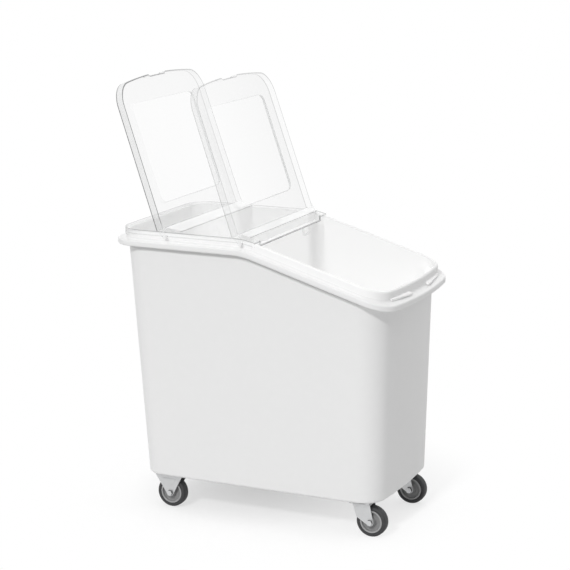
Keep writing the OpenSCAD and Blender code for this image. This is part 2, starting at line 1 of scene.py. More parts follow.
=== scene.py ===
# Rolling flour bin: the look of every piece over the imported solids. Metres, +Z up, front along +X.
import json
from math import acos, asin, atan2, cos, hypot, pi, radians, sin, sqrt, tan

import bmesh
import bpy
from mathutils import Matrix, Vector


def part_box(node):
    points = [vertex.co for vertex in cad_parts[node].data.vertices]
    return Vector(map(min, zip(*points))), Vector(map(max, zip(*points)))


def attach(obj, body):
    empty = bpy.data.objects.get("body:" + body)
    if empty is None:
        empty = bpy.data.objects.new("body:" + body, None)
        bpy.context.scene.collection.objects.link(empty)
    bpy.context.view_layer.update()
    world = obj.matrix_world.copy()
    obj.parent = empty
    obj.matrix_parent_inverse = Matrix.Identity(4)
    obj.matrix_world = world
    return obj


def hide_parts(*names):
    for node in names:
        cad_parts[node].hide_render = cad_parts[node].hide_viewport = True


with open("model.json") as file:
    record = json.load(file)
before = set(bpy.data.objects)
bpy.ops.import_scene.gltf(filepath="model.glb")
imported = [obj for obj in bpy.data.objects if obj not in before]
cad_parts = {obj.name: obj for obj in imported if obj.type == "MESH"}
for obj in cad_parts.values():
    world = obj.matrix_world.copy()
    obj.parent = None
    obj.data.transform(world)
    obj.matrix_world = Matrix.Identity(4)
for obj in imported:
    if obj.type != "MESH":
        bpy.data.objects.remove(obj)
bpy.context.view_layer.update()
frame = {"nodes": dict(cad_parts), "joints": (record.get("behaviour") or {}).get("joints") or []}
joint_at = {joint["name"]: Vector(joint["pos_m"]) for joint in frame["joints"]}
scene = bpy.context.scene

# Camera: it stands before the bin's right side, a little ahead of the middle and above the rim.
# A long lens looks slightly down at the bin.
camera_place = Vector((1.8466, -4.0704, 1.5454))
camera_azimuth = radians(24.39)
camera_elevation = radians(12.5)
lens_over_width = 3.3088
camera = bpy.data.cameras.new("camera")
camera.lens = camera.sensor_width * lens_over_width
camera_object = bpy.data.objects.new("camera", camera)
scene.collection.objects.link(camera_object)
camera_object.location = camera_place
toward_camera = Vector((sin(camera_azimuth), -cos(camera_azimuth), tan(camera_elevation)))
camera_object.rotation_mode = "QUATERNION"
camera_object.rotation_quaternion = (-toward_camera).to_track_quat("-Z", "Y")
scene.camera = camera_object

# Tub: one hollow moulding of white polyethylene with drafted walls and a rolled rim. The rim runs level
# at the back and bends down to the front, and an upstand round the mouth keeps the flour in.
wall = 0.005
floor_thickness = 0.006
rear_overhang = 0.023
side_overhang = 0.016
front_overhang = 0.026
rear_draft = 0.0405
front_draft = 0.012
side_draft = 0.022
rear_corner = 0.060
front_corner = 0.070
corner_taper = 0.012
bottom_rounding = 0.006
front_bow = 1.5
bend_x = -0.013
slope = radians(16.4)
bend_radius = 0.180
rim_thickness = 0.014
rim_rounding = 0.0035
rim_corner = 0.062
upstand_corner = 0.057
least_corner = 0.004
side_gutter = 0.013
rear_gutter = 0.020
front_gutter = 0.018
upstand_height = 0.023
upstand_thickness = 0.008
under_rounding = 0.003
painted_shade_band = 0.008
gutter_rounding = 0.006
corner_steps = 16
bow_steps = 16
bend_steps = 14
round_steps = 5
tub_low, tub_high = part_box("tub")
rim_z = tub_high.z - rim_thickness - upstand_height
rim_half_width = tub_high.y
bow_centre = tub_high.x - front_bow
bend_start = bend_x - bend_radius * tan(slope / 2)


def arc(centre, radius, start, end, steps):
    """Points on an arc from one angle to another."""
    angles = [start + (end - start) * step / steps for step in range(steps + 1)]
    return [(centre[0] + radius * cos(a), centre[1] + radius * sin(a)) for a in angles]


def rim_line(x, up):
    """Height of the rim's line at x, moved out from the rim's underside by up."""
    radius = bend_radius + up
    bend_end = bend_start + radius * sin(slope)
    if x <= bend_start:
        return rim_z + up
    if x < bend_end:
        return rim_z - bend_radius + sqrt(radius ** 2 - (x - bend_start) ** 2)
    return rim_z - bend_radius + radius * cos(slope) - (x - bend_end) * tan(slope)


def plan(rear, front, half, rear_radius, front_radius, side_xs):
    """Outline seen from above: round corners, a bowed front end and points along both sides."""
    bow = front - bow_centre
    lean = asin((half - front_radius) / (bow - front_radius))
    corner_x = bow_centre + (bow - front_radius) * cos(lean)
    right = arc((rear + rear_radius, -half + rear_radius), rear_radius, pi, 1.5 * pi, corner_steps)
    right += [(x, -half) for x in side_xs]
    right += arc((corner_x, -half + front_radius), front_radius, 1.5 * pi, 2 * pi - lean, corner_steps)
    left = [(x, -y) for x, y in reversed(right)]
    bow_line = arc((bow_centre, 0), bow, -lean, lean, bow_steps)[1:-1]
    return right + bow_line + left


def inset(shape, distance):
    """Plan sizes with every side moved in by the distance."""
    rear, front, half, rear_radius, front_radius = shape
    radii = [max(radius - distance, least_corner) for radius in (rear_radius, front_radius)]
    return [rear + distance, front - distance, half - distance] + radii


def wall_shape(z, distance):
    """Plan sizes of the tub's wall at a height, moved in by the distance."""
    down = (rim_z - z) / (rim_z - tub_low.z)
    shape = [
        tub_low.x + rear_overhang + rear_draft * down,
        tub_high.x - front_overhang - front_draft * down,
        rim_half_width - side_overhang - side_draft * down,
        rear_corner - corner_taper * down,
        front_corner - corner_taper * down,
    ]
    return inset(shape, distance)


bend_length = (bend_radius + rim_thickness + upstand_height) * sin(slope)
bend_xs = [bend_start + bend_length * step / bend_steps for step in range(bend_steps + 1)]


def level_ring(z, distance):
    """Ring round the wall at one height."""
    return [(x, y, z) for x, y in plan(*wall_shape(z, distance), bend_xs)]


def rim_ring(shape, up):
    """Ring that follows the rim's line."""
    return [(x, y, rim_line(x, up)) for x, y in plan(*shape, bend_xs)]


def wall_top_ring(up, distance):
    """Ring where the wall meets the rim's line."""
    guide = plan(*wall_shape(rim_z, distance), bend_xs)
    heights = [rim_line(x, up) for x, y in guide]
    return [(*plan(*wall_shape(z, distance), bend_xs)[i], z) for i, z in enumerate(heights)]


rim_shape = [tub_low.x, tub_high.x, rim_half_width, rim_corner, rim_corner]
upstand_shape = [
    tub_low.x + rear_gutter,
    tub_high.x - front_gutter,
    rim_half_width - side_gutter,
    upstand_corner,
    upstand_corner,
]
upstand_up = rim_thickness + upstand_height
inner_rounding = bottom_rounding / 2
rings = []
for step in range(round_steps + 1):
    angle = 0.5 * pi * step / round_steps
    inward = bottom_rounding * (1 - sin(angle))
    rings.append(level_ring(tub_low.z + bottom_rounding * (1 - cos(angle)), inward))
# Painted shade: a band of wall just under the rim, coloured darker.
painted_shade_from = len(rings)
rings.append(wall_top_ring(-painted_shade_band, 0))
rings.append(wall_top_ring(-under_rounding, 0))
rings.append(wall_top_ring(0, 0))
for corner_up, first in ((rim_rounding, 1.5 * pi), (rim_thickness - rim_rounding, 2 * pi)):
    for step in range(round_steps + 1):
        angle = first + 0.5 * pi * step / round_steps
        inward = rim_rounding * (1 - cos(angle))
        rings.append(rim_ring(inset(rim_shape, inward), corner_up + rim_rounding * sin(angle)))
for step in range(round_steps + 1):
    angle = 0.5 * pi * step / round_steps
    outward = gutter_rounding * (1 - sin(angle))
    up = rim_thickness + gutter_rounding * (1 - cos(angle))
    rings.append(rim_ring(inset(upstand_shape, -outward), up))
painted_glow_from = len(rings) - 1
top_rounding = upstand_thickness / 2
for middle, first in ((top_rounding, 0), (upstand_thickness - top_rounding, 0.5 * pi)):
    for step in range(round_steps + 1):
        angle = first + 0.5 * pi * step / round_steps
        inward = middle - top_rounding * cos(angle)
        up = upstand_up - top_rounding * (1 - sin(angle))
        rings.append(rim_ring(inset(upstand_shape, inward), up))
inside_from = len(rings) - 1
rings.append(rim_ring(inset(upstand_shape, upstand_thickness), rim_thickness))
rings.append(wall_top_ring(0, wall))
for step in range(round_steps + 1):
    angle = 0.5 * pi * step / round_steps
    height = tub_low.z + floor_thickness + inner_rounding * (1 - sin(angle))
    rings.append(level_ring(height, wall + inner_rounding * (1 - cos(angle))))
tub_mesh = bmesh.new()
loops = [[tub_mesh.verts.new(point) for point in ring] for ring in rings]
for j in range(len(loops) - 1):
    below, above = loops[j], loops[j + 1]
    for i in range(len(below)):
        face = tub_mesh.faces.new((below[i - 1], below[i], above[i], above[i - 1]))
        # Painted glow on the near half of the upstand and on the inside, painted shade on the band under
        # the rim.
        painted_glow_face = j >= painted_glow_from and below[i].co.y < rim_half_width / 2
        painted_shade_face = painted_shade_from <= j < painted_shade_from + 2
        face.material_index = 2 if j >= inside_from else 1 if painted_glow_face else 3 if painted_shade_face else 0
tub_mesh.faces.new(list(reversed(loops[0])))
tub_mesh.faces.new(loops[-1]).material_index = 2


class Wire:
    """One value in a node tree. Arithmetic on wires adds Math nodes."""

    def __init__(self, tree, socket=None):
        self.tree = tree
        self.socket = socket

    def node(self, kind, settings, inputs, output=0):
        made = self.tree.nodes.new("ShaderNode" + kind)
        for name, value in settings.items():
            setattr(made, name, value)
        for name, value in inputs.items():
            if isinstance(value, Wire):
                self.tree.links.new(value.socket, made.inputs[name])
            else:
                made.inputs[name].default_value = value
        return Wire(self.tree, made.outputs[output])

    def math(self, operation, first, second):
        return self.node("Math", {"operation": operation}, {0: first, 1: second})

    def __radd__(self, other):
        return self.math("ADD", other, self)

    def __rsub__(self, other):
        return self.math("SUBTRACT", other, self)

    def __mul__(self, other):
        return self.math("MULTIPLY", self, other)

    def __rmul__(self, other):
        return self.math("MULTIPLY", other, self)

    def __pow__(self, other):
        return self.math("POWER", self, other)

    def noise(self, scale, detail):
        """Noise around 0.5 over this place."""
        return self.node("TexNoise", {}, {"Vector": self, "Scale": scale, "Detail": detail}, "Fac")

    def rise(self, low, high):
        """0 below one value of this wire, 1 above another and even between them."""
        return self.node("MapRange", {}, {"Value": self, "From Min": low, "From Max": high})

    def blend(self, first, second):
        """Colour between two colours, with this wire as the share of the second."""
        return self.node("Mix", {"data_type": "RGBA"}, {0: self, 6: first, 7: second}, 2)

    def bump(self, depth):
        """Normal of a surface with this wire as its height."""
        return self.node("Bump", {}, {"Strength": 1.0, "Distance": depth, "Height": self}, "Normal")


def material(name):
    """New material with its shader and the place on the object."""
    made = bpy.data.materials.new(name)
    made.use_nodes = True
    place = Wire(made.node_tree).node("TexCoord", {}, {}, "Object")
    return made, made.node_tree.nodes["Principled BSDF"], place


def dress(shader, looks):
    """Sets or links each of a shader's inputs."""
    for name, value in looks.items():
        if isinstance(value, Wire):
            value.tree.links.new(value.socket, shader.inputs[name])
        else:
            shader.inputs[name].default_value = value


def smooth(obj, angle=radians(35)):
    """Shades faces evenly over rounded edges and keeps the sharp ones."""
    obj.data.shade_smooth()
    obj.data.set_sharp_from_angle(angle=angle)
    even = obj.modifiers.new("even shading", "WEIGHTED_NORMAL")
    even.keep_sharp = True


def piece(name, mesh, materials, body, slot, *nodes):
    """Makes an object of a mesh, which rides a body and stands in for solids."""
    bmesh.ops.recalc_face_normals(mesh, faces=mesh.faces)
    data = bpy.data.meshes.new(name)
    mesh.to_mesh(data)
    mesh.free()
    for made in materials:
        data.materials.append(made)
    obj = bpy.data.objects.new(name, data)
    scene.collection.objects.link(obj)
    smooth(obj)
    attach(obj, body)
    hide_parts(*nodes)
    obj.visible_shadow = slot != "clear_plastic"
    return obj


def polyethylene(name, glow, covered_painted_glow=1.0, front_painted_glow_share=1.0, painted_shade_scale=1.0):
    """White moulded plastic. Its glow is painted light, an emission for light through the thin walls, made
    less under the cover and at the front end as painted shade, and the shade scale darkens its colour as
    painted shade."""
    made, shader, place = material(name)
    mottle = place.noise(60.0, 4.0)
    along = place.node("SeparateXYZ", {}, {"Vector": place}, "X")
    rear_painted_glow = covered_painted_glow + (1 - covered_painted_glow) * along.rise(covered_x, uncovered_x)
    front_painted_glow = 1 - (1 - front_painted_glow_share) * along.rise(side_end_x, front_x)
    dress(shader, {
        "Base Color": mottle.blend(
            (*[painted_shade_scale * value for value in (0.915, 0.915, 0.913)], 1),
            (*[painted_shade_scale * value for value in (0.935, 0.935, 0.933)], 1),
        ),
        "Roughness": 0.44 + 0.08 * place.noise(14.0, 2.0),
        "Normal": place.noise(900.0, 2.0).bump(0.00006),
        "Emission Color": rear_painted_glow * front_painted_glow,
        "Emission Strength": glow,
    })
    return made


covered_x = -0.22
uncovered_x = 0.06
side_end_x = tub_high.x - rim_corner
front_x = tub_high.x - front_gutter
tub_plastic = polyethylene("white polyethylene", 0.0)
# The upstand and the inside get a painted glow: the upstand none at its front end, the inside less under
# the cover.
upstand_painted_glow_plastic = polyethylene("white polyethylene upstand with painted glow", 0.10, 1.0, 0.0)
inside_painted_glow_plastic = polyethylene("white polyethylene inside with painted glow", 0.09, 0.75)
# The band of wall under the rim is darkened to 80 percent as painted shade.
under_rim_painted_shade_plastic = polyethylene("white polyethylene with painted shade under rim", 0.0, 1.0, 1.0, 0.80)
tub_looks = [tub_plastic, upstand_painted_glow_plastic, inside_painted_glow_plastic, under_rim_painted_shade_plastic]
piece("tub_shell", tub_mesh, tub_looks, "bin", "tub_plastic", "tub")

# Front ledges: two low pads moulded in the front gutter, one on each side of the finger gap. They are
# of the tub's own plastic and carry the closed lid's edge.
ledge_start = 0.055
ledge_length = 0.100
ledge_height = 0.0080
ledge_lip = 0.0070
ledge_under = 0.0025
ledge_width = 0.009
ledge_end_width = 0.003
ledge_steps = 10
soft_edge = 0.0012


def front_line(y, distance):
    """Front end of the upstand's plan at y, moved out by the distance."""
    rear, front, half, rear_radius, radius = inset(upstand_shape, -distance)
    bow = front - bow_centre
    lean = asin((half - radius) / (bow - radius))
    if abs(y) <= bow * sin(lean):
        return bow_centre + sqrt(bow ** 2 - y ** 2)
    corner_x = bow_centre + (bow - radius) * cos(lean)
    return corner_x + sqrt(radius ** 2 - (abs(y) - half + radius) ** 2)


def prism(outline, depth):
    """Solid between a flat outline and its copy along Z."""
    mesh = bmesh.new()
    face = mesh.faces.new([mesh.verts.new((x, y, 0)) for x, y in outline])
    moved = bmesh.ops.extrude_face_region(mesh, geom=[face])["geom"]
    top = [element for element in moved if isinstance(element, bmesh.types.BMVert)]
    bmesh.ops.translate(mesh, vec=(0, 0, depth), verts=top)
    bmesh.ops.recalc_face_normals(mesh, faces=mesh.faces)
    return mesh


def soften(mesh, width, segments=2, angle=radians(40)):
    """Rounds the edges that turn by more than an angle."""
    edges = [edge for edge in mesh.edges if edge.is_manifold and edge.calc_face_angle() > angle]
    bmesh.ops.bevel(
        mesh, geom=edges, offset=width, segments=segments, profile=0.5, affect="EDGES", material=-1,
    )


def joined(meshes):
    """All meshes in one."""
    whole = bmesh.new()
    for mesh in meshes:
        part = bpy.data.meshes.new("part")
        mesh.to_mesh(part)
        mesh.free()
        whole.from_mesh(part)
        bpy.data.meshes.remove(part)
    return whole


ledges = []
for side in (-1, 1):
    shares = [step / ledge_steps for step in range(ledge_steps + 1)]
    ys = [side * (ledge_start + ledge_length * share) for share in shares]
    widths = [ledge_width + (ledge_end_width - ledge_width) * share for share in shares]
    outer = [(front_line(y, width), y) for y, width in zip(ys, widths)]
    inner = [(front_line(y, -upstand_thickness / 2), y) for y in reversed(ys)]
    ledge = prism(outer + inner, rim_thickness + ledge_height)
    for vertex in ledge.verts:
        out = vertex.co.x > front_line(vertex.co.y, ledge_end_width / 2)
        top = rim_thickness + (ledge_lip if out else ledge_height)
        vertex.co.z = rim_line(vertex.co.x, top if vertex.co.z > 0 else rim_thickness + ledge_under)
    soften(ledge, soft_edge, segments=3, angle=radians(30))
    ledges.append(ledge)
# The ledges get a small painted glow.
ledge_painted_glow_plastic = polyethylene("white polyethylene ledge with painted glow", 0.06)
piece("front_ledges", joined(ledges), [ledge_painted_glow_plastic], "bin", "tub_plastic")

# Rear cover: a clear polycarbonate moulding that sits over the upstand on the flat part of the rim.
# It has a skirt, two cross ridges that the lids lean on, and a dropped shelf at its front edge.
cover_thickness = 0.003
cover_skirt = 0.018
cover_seat = 0.0003
border = 0.018
step_half = 0.177
step_drop = 0.019
bar_height = 0.0028
bar_depth = 0.005
ridge_half = 0.196
ridge_cap = 0.0008
ridge_foot = -0.0155
crest_back = -0.0095
crest_front = -0.0065
ridge_toes = (0.0155, 0.032)
toe_height = 0.0017
toe_run = 0.002
crest_rise = 0.0080
cover_low, cover_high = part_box("rear_cover")
cover_up = upstand_up + cover_seat + cover_thickness
cover_z = rim_z + cover_up
cover_half = cover_high.y
cover_corner = cover_half - rim_half_width + upstand_corner + side_gutter
pivots = [joint_at["front_lid_hinge"].x, joint_at["rear_lid_hinge"].x]
step_back = pivots[0] + ridge_toes[0] + toe_run
tolerance = 0.00001
cut_gap = 0.001


def cover_height(x, y):
    """Height of the cover's top face."""
    height = rim_line(x, cover_up)
    if abs(y) < ridge_half - ridge_cap + tolerance:
        for pivot, ridge_toe in zip(pivots, ridge_toes):
            across = [ridge_foot, crest_back, crest_front, ridge_toe, ridge_toe + toe_run]
            rises = [0, crest_rise, crest_rise, toe_height, 0]
            for i in range(len(across) - 1):
                share = (x - pivot - across[i]) / (across[i + 1] - across[i])
                if -tolerance < share < 1 + tolerance:
                    height = max(height, cover_z + rises[i] + share * (rises[i + 1] - rises[i]))
    if x > step_back + ridge_cap - tolerance and abs(y) < step_half - ridge_cap + tolerance:
        height = cover_z - step_drop
    return height


corner_middle = (cover_low.x + cover_corner, cover_corner - cover_half)
rear_arc = arc(corner_middle, cover_corner, 1.5 * pi, pi, corner_steps)
near_side = [(cover_high.x, -cover_half)] + rear_arc
cover = bmesh.new()
outline = near_side + [(x, -y) for x, y in reversed(near_side)]
cover.faces.new([cover.verts.new((x, y, 0)) for x, y in outline])
cuts = [cover_low.x + border, step_back + ridge_cap]
cuts += [x for x in bend_xs if x < cover_high.x - cut_gap]
for pivot, ridge_toe in zip(pivots, ridge_toes):
    for along in (ridge_foot, crest_back, crest_front, ridge_toe, ridge_toe + toe_run):
        cuts.append(pivot + along)
for x in cuts:
    everything = cover.verts[:] + cover.edges[:] + cover.faces[:]
    bmesh.ops.bisect_plane(cover, geom=everything, plane_co=(x, 0, 0), plane_no=(1, 0, 0))
for half in (ridge_half, ridge_half - ridge_cap, step_half, step_half - ridge_cap):
    for y in (-half, half):
        everything = cover.verts[:] + cover.edges[:] + cover.faces[:]
        bmesh.ops.bisect_plane(cover, geom=everything, plane_co=(0, y, 0), plane_no=(0, 1, 0))
bmesh.ops.remove_doubles(cover, verts=cover.verts, dist=tolerance)
for vertex in cover.verts:
    vertex.co.z = cover_height(vertex.co.x, vertex.co.y)


def at_front(edge):
    """True for an edge on the cover's front end."""
    return all(vertex.co.x > cover_high.x - tolerance for vertex in edge.verts)


def drop_skirt(mesh, edges, bands):
    """Draws a skirt down from edges in bands, each given by its height and its material."""
    for height, index in bands:
        made = bmesh.ops.extrude_edge_only(mesh, edges=edges)["geom"]
        for element in made:
            if isinstance(element, bmesh.types.BMVert):
                element.co.z -= height
            if isinstance(element, bmesh.types.BMFace):
                element.material_index = index
        edges = [element for element in made if isinstance(element, bmesh.types.BMEdge)]
        edges = [edge for edge in edges if edge.is_boundary]
        edges = [edge for edge in edges if abs(edge.verts[0].co.z - edge.verts[1].co.z) < height / 2]
    return edges


edge_band = 0.0022
bead_drop = 0.0070
bead_height = 0.0025
skirt_edges = [edge for edge in cover.edges if edge.is_boundary and not at_front(edge)]
front_edges = [edge for edge in cover.edges if at_front(edge)]
tab_edges = [edge for edge in front_edges if abs(edge.verts[0].co.y + edge.verts[1].co.y) > 2 * step_half]
low_skirt = cover_skirt - edge_band - bead_drop - bead_height
drop_skirt(cover, skirt_edges, [(edge_band, 1), (bead_drop, 5), (bead_height, 4), (low_skirt, 5)])
drop_skirt(cover, tab_edges, [(cover_thickness, 1)])
bmesh.ops.recalc_face_normals(cover, faces=cover.faces)
if sum(face.normal.z * face.calc_area() for face in cover.faces) < 0:
    bmesh.ops.reverse_faces(cover, faces=cover.faces)


def clear_plastic(name, tint, veil, rim_veil, roughness, painted_shade_far_share=1.0, painted_gleam=0.0):
    """Clear plastic: a thin veil of colour that thickens where the sheet is seen edge-on. The veil of the
    left side is a share of the right side's, painted shading of that side's edges, and its emission
    is a painted glow."""
    made, shader, place = material(name)
    grazing = place.node("LayerWeight", {}, {"Blend": 0.4}, "Facing")
    haze = place.noise(22.0, 3.0)
    across = place.node("SeparateXYZ", {}, {"Vector": place}, "Y")
    ends = {"From Min": -cover_half, "From Max": cover_half, "To Min": 1.0, "To Max": painted_shade_far_share}
    painted_side_shade = across.node("MapRange", {}, {"Value": across, **ends})
    dress(shader, {
        "Base Color": haze.blend((*[0.96 * value for value in tint], 1), (*tint, 1)),
        "Roughness": roughness + 0.03 * haze,
        "Alpha": (veil + (rim_veil - veil) * grazing ** 3.0) * painted_side_shade,
        "IOR": 1.58,
        "Emission Color": (1, 1, 1, 1),
        "Emission Strength": painted_gleam,
    })
    return made


# Where given, the sixth number is the painted shading share of the left side and the seventh a painted
# glow.
cover_clear = clear_plastic("clear cover", (0.90, 0.905, 0.905), 0.18, 0.50, 0.08, 1.0, 0.12)
cover_edge = clear_plastic("clear cover edge", (0.24, 0.25, 0.25), 0.50, 0.65, 0.15, 0.75)
ridge_clear = clear_plastic("clear ridge", (0.94, 0.945, 0.945), 0.66, 0.75, 0.10, 1.0, 0.06)
shelf_clear = clear_plastic("clear shelf", (0.97, 0.975, 0.975), 0.35, 0.50, 0.04, 1.0, 0.20)
border_clear = clear_plastic("clear cover border", (0.45, 0.455, 0.455), 0.22, 0.34, 0.08)
skirt_clear = clear_plastic("clear cover skirt", (0.95, 0.955, 0.955), 0.10, 0.50, 0.08, 1.0, 0.2)
# The skirt's faces round the rear corners take a near-black tint, painted as a dark line.
painted_dark_corner_clear = clear_plastic("clear cover corner with painted dark line", (0.10, 0.105, 0.105), 0.04, 1.0, 0.15)
for face in cover.faces:
    middle = face.calc_center_median()
    at_back = middle.x < cover_low.x + border or middle.y > cover_half - border
    if at_back and (face.normal.z > 0.5 or face.material_index == 1 and middle.z > cover_z - edge_band):
        face.material_index = 4
    in_corner = middle.x < cover_low.x + cover_corner and abs(middle.y) > cover_half - cover_corner
    if face.material_index == 5 and in_corner:
        face.material_index = 6
    if middle.x > step_back and abs(middle.y) < step_half:
        face.material_index = 3 if abs(middle.y) < step_half - ridge_cap else 0
    for pivot, ridge_toe in zip(pivots, ridge_toes):
        along = middle.x - pivot
        if face.normal.z > 0.5 and abs(middle.y) < ridge_half and middle.z > cover_z - cover_thickness / 2:
            if crest_front < along < ridge_toe:
                face.material_index = 2
            if crest_back < along < crest_front or ridge_toe < along < ridge_toe + toe_run:
                face.material_index = 1
cover_looks = [cover_clear, cover_edge, ridge_clear, shelf_clear, border_clear, skirt_clear, painted_dark_corner_clear]
cover_object = piece("clear_cover", cover, cover_looks, "bin", "clear_plastic", "rear_cover")
cover_object.visible_shadow = True

# Front bar: the thickened lower edge of the cover's shelf, of the same clear plastic, which turns up to
# the cover's top at both ends. Its near-black tint is a painted dark line for the light led to it through
# the sheet.
bar_proud = 0.0002
bar_post = 0.0024
bar_edge = 0.0008
bar_top = cover_z - step_drop + bar_proud
post_top = rim_line(cover_high.x, cover_up) - bar_top - bar_proud
near_end = [
    (bar_post - step_half, 0), (bar_post - step_half, post_top),
    (-step_half, post_top), (-step_half, -bar_height),
]
bar = prism(near_end + [(-y, z) for y, z in reversed(near_end)], bar_depth)
soften(bar, bar_edge)
stand = Matrix((
    (0, 0, 1, cover_high.x + bar_proud - bar_depth), (1, 0, 0, 0), (0, 1, 0, bar_top), (0, 0, 0, 1),
))
bmesh.ops.transform(bar, matrix=stand, verts=bar.verts)
painted_dark_bar_clear = clear_plastic("clear bar", (0.16, 0.165, 0.165), 0.55, 0.70, 0.15, 0.6)
post_clear = clear_plastic("clear bar end", (0.24, 0.25, 0.25), 0.16, 0.20, 0.15, 2.5)
for face in bar.faces:
    face.material_index = 1 if face.calc_center_median().z > bar_top + bar_proud else 0
piece("cover_bar", bar, [painted_dark_bar_clear, post_clear], "bin", "clear_plastic")

# Scoop hook: a U of clear plastic that hangs under the cover's front bar at its left side.
# The scoop's handle goes through it.
hook_half = 0.020
hook_drop = 0.020
hook_band = 0.005
hook_corner = 0.012
small_steps = 6
hook_low, hook_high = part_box("scoop_hook")
hook_y = (hook_low.y + hook_high.y) / 2


def hook_line(half, drop, radius):
    """One line of the U from its left top to its right top."""
    left = arc((radius - half, radius - drop), radius, pi, 1.5 * pi, small_steps)
    right = arc((half - radius, radius - drop), radius, 1.5 * pi, 2 * pi, small_steps)
    return [(-half, 0)] + left + right + [(half, 0)]


outside = hook_line(hook_half, hook_drop, hook_corner)
inside = hook_line(hook_half - hook_band, hook_drop - hook_band, hook_corner - hook_band)
hook = prism(outside + inside[::-1], hook_high.x - hook_low.x)
soften(hook, soft_edge)
stand = Matrix(((0, 0, 1, hook_low.x), (1, 0, 0, hook_y), (0, 1, 0, hook_high.z), (0, 0, 0, 1)))
bmesh.ops.transform(hook, matrix=stand, verts=hook.verts)
hook_clear = clear_plastic("clear hook", (0.80, 0.81, 0.81), 0.12, 0.45, 0.12)
piece("scoop_loop", hook, [hook_clear], "bin", "clear_plastic", "scoop_hook")

# Lid leaves: two clear polycarbonate mouldings that stand raised on the cover, each with a skirt round
# three sides, a sunk panel, a finger recess in its end and two ears that turn on pins.
lid_thickness = 0.003
lid_depth = 0.017
lid_heel = 0.018
lid_length = 0.366
lid_taper = 0.004
lid_corner = 0.055
lid_lean = radians(19.3)
panel_start = 0.075
panel_length = 0.250
panel_half = 0.161
panel_corner = 0.020
panel_sink = 0.008
panel_draft = 0.003
recess_right = -0.052
recess_left = 0.034
recess_depth = 0.0045
recess_run = 0.006
ear_radius = 0.007
ear_edge = 0.0005
ear_steps = 12
lid_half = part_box("front_lid")[1].y
lid_tip = lid_heel + lid_length
lid_bow_centre = lid_tip - front_bow
recess_bow = front_bow - recess_depth


def lid_outline():
    """Leaf seen on its sheet, from the right end of its heel to the left one."""
    tip_half = lid_half - lid_taper
    lean = asin((tip_half - lid_corner) / (front_bow - lid_corner))
    corner = (lid_bow_centre + (front_bow - lid_corner) * cos(lean), lid_corner - tip_half)
    side_angle = 1.5 * pi + atan2(lid_taper, lid_length)
    right = [(lid_heel, -lid_half)] + arc(corner, lid_corner, side_angle, 2 * pi - lean, corner_steps)
    bow = (lid_bow_centre, 0)
    line = right + arc(bow, front_bow, -lean, asin(recess_right / front_bow), small_steps)[1:]
    low = asin((recess_right + recess_run) / recess_bow)
    high = asin((recess_left - recess_run) / recess_bow)
    line += arc(bow, recess_bow, low, high, small_steps)
    line += arc(bow, front_bow, asin(recess_left / front_bow), lean, small_steps)[:-1]
    return line + [(x, -y) for x, y in reversed(right)]


def panel_outline():
    """Rounded rectangle of the sunk panel."""
    low, high = panel_start + panel_corner, panel_start + panel_length - panel_corner
    reach = panel_half - panel_corner
    corners = [(low, -reach, 1.0), (high, -reach, 1.5), (high, reach, 2.0), (low, reach, 2.5)]
    points = []
    for x, y, turn in corners:
        points += arc((x, y), panel_corner, turn * pi, (turn + 0.5) * pi, small_steps)
    return points


def ring_edges(mesh, points, z):
    """Closed loop of edges through points."""
    verts = [mesh.verts.new((x, y, z)) for x, y in points]
    return [mesh.edges.new((verts[i - 1], verts[i])) for i in range(len(verts))]


